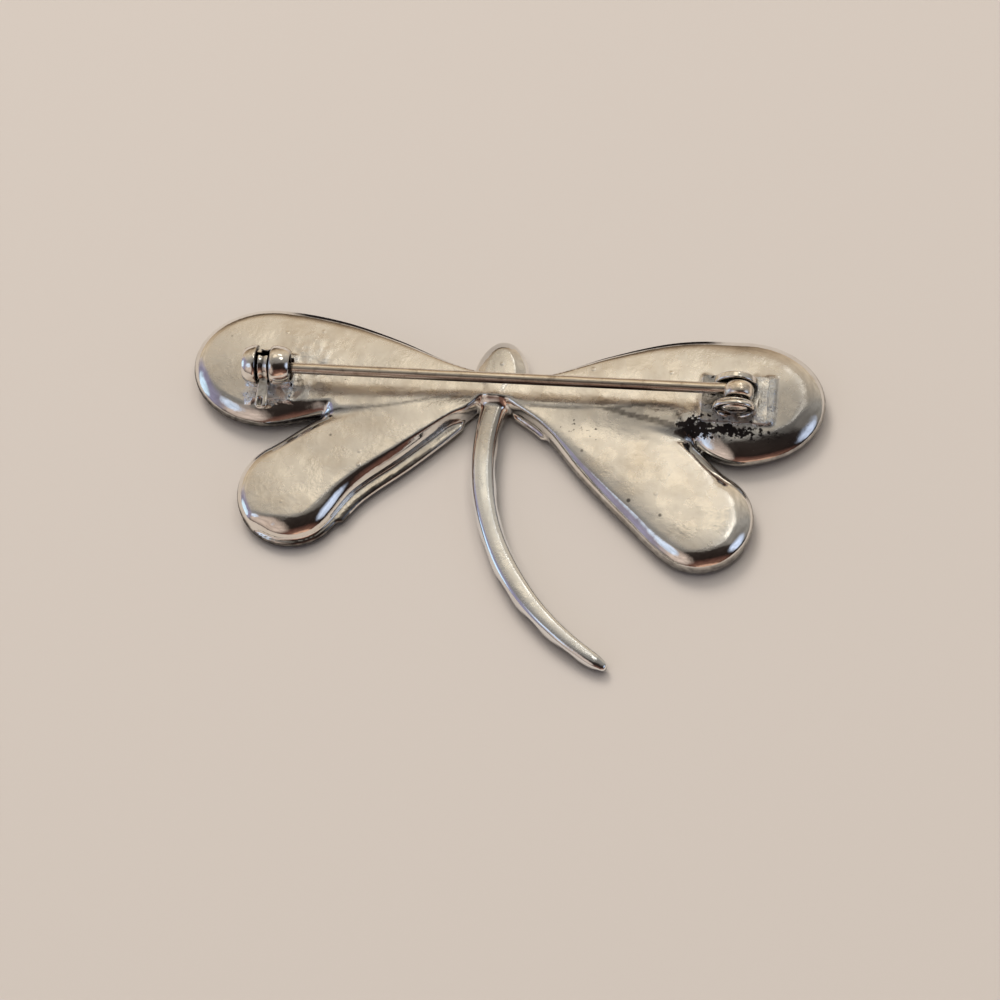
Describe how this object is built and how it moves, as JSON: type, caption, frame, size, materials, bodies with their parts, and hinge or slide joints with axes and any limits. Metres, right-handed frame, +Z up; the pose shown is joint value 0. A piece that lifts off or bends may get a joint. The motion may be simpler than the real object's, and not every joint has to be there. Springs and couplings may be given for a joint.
{
  "type": "dragonfly brooch",
  "caption": "Cast metal brooch in the shape of a dragonfly with spread wings and a curved tail, with a hinged pin and a rollover safety catch on its back.",
  "frame": {"origin": "on the surface that the brooch lies on, under the middle of its bounding box", "axes": "+X from the catch to the pin joint, from wing tip to wing tip; +Y towards the dragonfly's head; +Z up, out of the brooch's back"},
  "size_m": [0.0664, 0.0388, 0.0076],
  "materials": {
    "cast_metal": "polished silver-tone plating over a slightly rough casting",
    "pin_metal": "bright drawn wire",
    "rivet_metal": "bright, hammered",
    "rotor_metal": "bright turned metal"
  },
  "bodies": {
    "brooch": {"casting": "cast_metal", "hinge_rivet": "rivet_metal"},
    "pin": {"pin_stem": "pin_metal"},
    "rotor": {"catch_rotor": "rotor_metal"}
  },
  "joints": [
    {"name": "pin_hinge", "type": "hinge", "parent": "brooch", "child": "pin", "pos_m": [0.02446, 0.01017, 0.0055], "axis": [0, 1, 0], "range_deg": [0, 80]},
    {"name": "catch_turn", "type": "hinge", "parent": "brooch", "child": "rotor", "pos_m": [-0.02434, 0.01072, 0.0055], "axis": [-1, 0, 0], "range_deg": [0, 55]}
  ]
}
